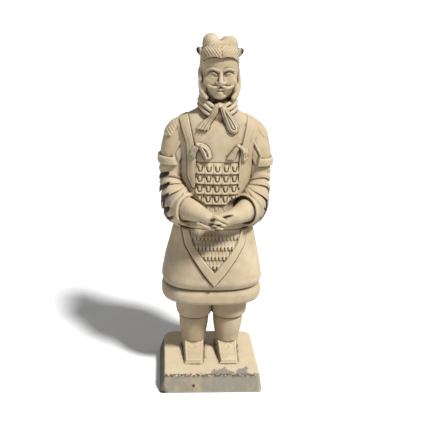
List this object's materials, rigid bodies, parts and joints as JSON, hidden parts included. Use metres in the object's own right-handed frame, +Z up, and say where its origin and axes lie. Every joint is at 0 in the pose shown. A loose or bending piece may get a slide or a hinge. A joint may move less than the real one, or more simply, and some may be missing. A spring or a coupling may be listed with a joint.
{
  "type": "terracotta warrior statue",
  "caption": "Standing armoured warrior in fired clay, with clasped hands, knotted scarf and a low rectangular plinth cast in one with it.",
  "frame": {"origin": "centre of the plinth's underside", "axes": "+Z up through the standing figure; the figure faces -Y and +X is to its left"},
  "size_m": [0.0824, 0.07, 0.25],
  "materials": {
    "terracotta": "matte clay with a thin slip"
  },
  "bodies": {
    "root": {"statue": "terracotta"}
  },
  "joints": []
}
